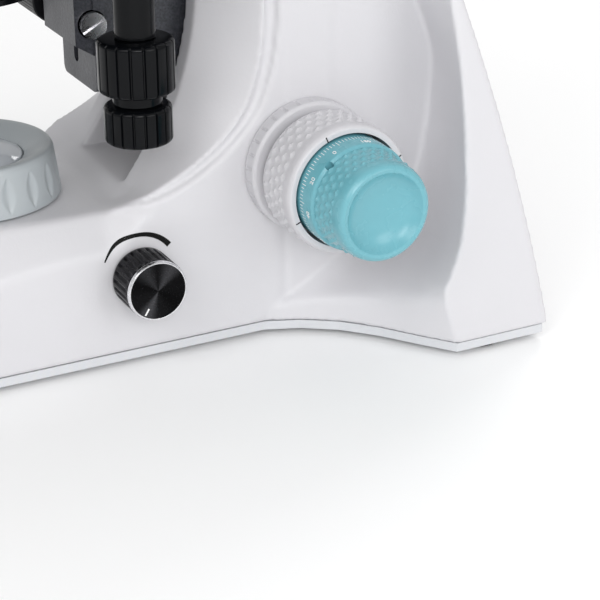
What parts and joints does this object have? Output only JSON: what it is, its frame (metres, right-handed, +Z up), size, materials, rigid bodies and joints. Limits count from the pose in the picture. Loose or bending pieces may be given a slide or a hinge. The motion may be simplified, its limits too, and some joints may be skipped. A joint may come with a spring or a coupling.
{
  "type": "microscope",
  "caption": "Upright binocular laboratory microscope with a flared stand, coaxial focus knobs, moving stage, condenser and turning nosepiece.",
  "frame": {"origin": "middle of the object's footprint box, on the table", "axes": "+Z up; -Y towards the user; +X to the right of a user who sits at the eyepieces"},
  "size_m": [0.2152, 0.2866, 0.3858],
  "materials": {
    "white_casting": "fine orange-peel powder coat",
    "white_carrier": "fine orange-peel powder coat",
    "grey_plate": "satin",
    "plated_screws": "zinc plated",
    "black_rubber": "matte",
    "inlet_plastic": "matte",
    "switch_plastic": "matte",
    "lamp_housing": "black anodised",
    "field_glass": "polished",
    "iris_steel": "blackened",
    "collector_glass": "polished",
    "led_board": "white solder mask",
    "heat_sink": "sawn",
    "circuit_board": "solder mask",
    "potentiometer": "plain",
    "bush_metal": "turned",
    "gear_frame": "milled",
    "rail_steel": "ground",
    "nosepiece_mount": "powder coat",
    "lock_screw": "knurled",
    "rocker_plastic": "gloss",
    "field_ring": "satin",
    "black_knob": "black anodised with a bright chamfer",
    "light_grey_ring": "satin",
    "steel_shaft": "ground",
    "coarse_knob": "satin",
    "coarse_knob_left": "satin",
    "fine_shaft_steel": "ground",
    "teal_knob": "satin gloss",
    "teal_knob_left": "satin gloss",
    "set_screws": "blackened",
    "gear_brass": "cut",
    "carriage": "milled",
    "slide_grey": "dark hammered",
    "rack_brass": "cut",
    "bracket_grey": "dark hammered",
    "stage_base": "satin black",
    "chrome_pinion": "polished",
    "condenser_knob": "satin",
    "condenser_holder": "satin black",
    "condenser_body": "gloss black",
    "condenser_glass": "polished",
    "lever_metal": "satin black",
    "stage_black": "satin black",
    "knob_tube": "gloss black",
    "y_knob": "gloss",
    "x_knob": "gloss",
    "cross_slide": "satin black",
    "finger_steel": "satin black",
    "turret": "satin black with a rubber rim",
    "objective_a": "bright satin with a red band",
    "objective_b": "bright satin with a yellow band",
    "objective_c": "bright satin with a blue band",
    "objective_d": "bright satin with a white band",
    "head_white": "fine orange-peel powder coat",
    "arm_white_right": "powder coat",
    "eyepiece_right": "satin black with a rubber cup",
    "arm_white_left": "powder coat",
    "eyepiece_left": "satin black with a rubber cup",
    "dioptre_ring": "fluted satin"
  },
  "bodies": {
    "stand": {"stand_casting": "white_casting", "head_carrier": "white_carrier", "base_plate": "grey_plate", "base_screws": "plated_screws", "rubber_feet": "black_rubber", "power_inlet": "inlet_plastic", "switch_frame": "switch_plastic", "lamp_housing": "lamp_housing", "field_lens": "field_glass", "field_iris": "iris_steel", "collector_lens": "collector_glass", "led_board": "led_board", "heat_sink": "heat_sink", "driver_board": "circuit_board", "potentiometer": "potentiometer", "focus_bushes": "bush_metal", "gear_frame": "gear_frame", "guide_rails": "rail_steel", "nosepiece_mount": "nosepiece_mount", "head_lock_screw": "lock_screw"},
    "power_rocker": {"rocker_switch": "rocker_plastic"},
    "field_ring": {"field_diaphragm_ring": "field_ring"},
    "light_control": {"brightness_knob": "black_knob"},
    "tension_control": {"tension_ring": "light_grey_ring"},
    "coarse_drive": {"coarse_shaft": "steel_shaft", "coarse_knob_right": "coarse_knob", "coarse_knob_left": "coarse_knob_left"},
    "fine_drive": {"fine_shaft": "fine_shaft_steel", "fine_knob_right": "teal_knob", "fine_knob_left": "teal_knob_left", "fine_set_screws": "set_screws"},
    "lift_drive": {"lift_gear": "gear_brass"},
    "fine_block": {"fine_carriage": "carriage"},
    "stage_lifter": {"focus_slide": "slide_grey", "focus_rack": "rack_brass", "stage_bracket": "bracket_grey", "stage_base": "stage_base"},
    "condenser_drive": {"condenser_pinion": "chrome_pinion", "condenser_knob": "condenser_knob"},
    "condenser": {"condenser_holder": "condenser_holder", "condenser_body": "condenser_body", "condenser_lens": "condenser_glass"},
    "aperture_control": {"aperture_lever": "lever_metal"},
    "stage_table": {"stage_top": "stage_black", "stage_knob_tube": "knob_tube"},
    "stage_y_drive": {"stage_y_knob": "y_knob"},
    "stage_x_drive": {"stage_x_knob": "x_knob"},
    "specimen_carrier": {"cross_slide": "cross_slide"},
    "specimen_finger": {"slide_finger": "finger_steel"},
    "nosepiece": {"nosepiece_turret": "turret", "objective_4x": "objective_a", "objective_10x": "objective_b", "objective_40x": "objective_c", "objective_100x": "objective_d"},
    "head": {"head_body": "head_white"},
    "right_ocular": {"ocular_arm_right": "arm_white_right", "eyepiece_right": "eyepiece_right"},
    "left_ocular": {"ocular_arm_left": "arm_white_left", "eyepiece_left": "eyepiece_left"},
    "dioptre": {"dioptre_ring": "dioptre_ring"}
  },
  "joints": [
    {"name": "power_switch", "type": "hinge", "parent": "stand", "child": "power_rocker", "pos_m": [-0.026, 0.13218, 0.028], "axis": [1, 0, 0], "range_deg": [0, 18]},
    {"name": "field_diaphragm", "type": "hinge", "parent": "stand", "child": "field_ring", "pos_m": [0, -0.04282, 0.066], "axis": [0, 0, 1], "range_deg": [-45, 45]},
    {"name": "brightness", "type": "hinge", "parent": "stand", "child": "light_control", "pos_m": [0.057, 0.00268, 0.0346], "axis": [-1, 0, 0], "range_deg": [0, 270]},
    {"name": "tension_adjust", "type": "hinge", "parent": "stand", "child": "tension_control", "pos_m": [0.0526, 0.06808, 0.066], "axis": [1, 0, 0], "range_deg": [-60, 60]},
    {"name": "fine_lift", "type": "slide", "parent": "stand", "child": "fine_block", "axis": [0, 0, 1], "range_m": [-0.001, 0.001]},
    {"name": "stage_lift", "type": "slide", "parent": "fine_block", "child": "stage_lifter", "axis": [0, 0, 1], "range_m": [-0.008, 0.015]},
    {"name": "coarse_focus", "type": "hinge", "parent": "stand", "child": "coarse_drive", "pos_m": [0, 0.06808, 0.066], "axis": [1, 0, 0], "range_deg": [-100, 184]},
    {"name": "lift_gear_turn", "type": "hinge", "parent": "stand", "child": "lift_drive", "pos_m": [0, 0.06808, 0.092], "axis": [1, 0, 0], "range_deg": [-116, 64]},
    {"name": "fine_focus", "type": "hinge", "parent": "stand", "child": "fine_drive", "pos_m": [0, 0.06808, 0.066], "axis": [1, 0, 0], "range_deg": [-1810, 1810]},
    {"name": "condenser_height", "type": "slide", "parent": "stage_lifter", "child": "condenser", "axis": [0, 0, 1], "range_m": [-0.009, 0.005]},
    {"name": "condenser_knob_turn", "type": "hinge", "parent": "stage_lifter", "child": "condenser_drive", "pos_m": [0, 0.00168, 0.1172], "axis": [1, 0, 0], "range_deg": [-73, 130]},
    {"name": "aperture_iris", "type": "hinge", "parent": "condenser", "child": "aperture_control", "pos_m": [0, -0.04282, 0.1346], "axis": [0, 0, 1], "range_deg": [-30, 30]},
    {"name": "stage_y", "type": "slide", "parent": "stage_lifter", "child": "stage_table", "axis": [0, 1, 0], "range_m": [-0.034, 0.006]},
    {"name": "stage_y_knob_turn", "type": "hinge", "parent": "stage_table", "child": "stage_y_drive", "pos_m": [0.0477, 0.00488, 0.111], "axis": [0, 0, 1], "range_deg": [-300, 54]},
    {"name": "stage_x", "type": "slide", "parent": "stage_table", "child": "specimen_carrier", "axis": [1, 0, 0], "range_m": [-0.025, 0.025]},
    {"name": "stage_x_knob_turn", "type": "hinge", "parent": "stage_table", "child": "stage_x_drive", "pos_m": [0.0477, 0.00488, 0.0906], "axis": [0, 0, 1], "range_deg": [-173, 173]},
    {"name": "slide_finger_open", "type": "hinge", "parent": "specimen_carrier", "child": "specimen_finger", "pos_m": [0.0415, 0.00258, 0.1685], "axis": [0, 0, 1], "range_deg": [0, 35], "stiffness_Nm_per_rad": 0.01, "springref_deg": -11.46},
    {"name": "nosepiece_turn", "type": "hinge", "parent": "stand", "child": "nosepiece", "pos_m": [0, -0.04282, 0.308], "axis": [0, 0.2588, -0.9659], "continuous": true},
    {"name": "head_swivel", "type": "hinge", "parent": "stand", "child": "head", "pos_m": [0, -0.04282, 0.29], "axis": [0, 0, 1], "continuous": true},
    {"name": "right_ocular_swing", "type": "hinge", "parent": "head", "child": "right_ocular", "pos_m": [0, -0.06882, 0.3188], "axis": [0, -0.866, 0.5], "range_deg": [-20, 22]},
    {"name": "left_ocular_swing", "type": "hinge", "parent": "head", "child": "left_ocular", "pos_m": [0, -0.06882, 0.3188], "axis": [0, -0.866, 0.5], "range_deg": [-22, 20]},
    {"name": "dioptre_turn", "type": "hinge", "parent": "left_ocular", "child": "dioptre", "pos_m": [-0.03477, -0.10146, 0.35226], "axis": [0, -0.866, 0.5], "range_deg": [-90, 90]}
  ],
  "couplings": [
    {"joint": "coarse_focus", "follows": "stage_lift", "rad_per_m": 211.11},
    {"joint": "lift_gear_turn", "follows": "stage_lift", "rad_per_m": -133.33},
    {"joint": "fine_focus", "follows": "fine_lift", "rad_per_m": 31416},
    {"joint": "condenser_knob_turn", "follows": "condenser_height", "rad_per_m": -250},
    {"joint": "stage_y_knob_turn", "follows": "stage_y", "rad_per_m": 153.85},
    {"joint": "stage_x_knob_turn", "follows": "stage_x", "rad_per_m": 120},
    {"joint": "left_ocular_swing", "follows": "right_ocular_swing", "ratio": -1}
  ]
}
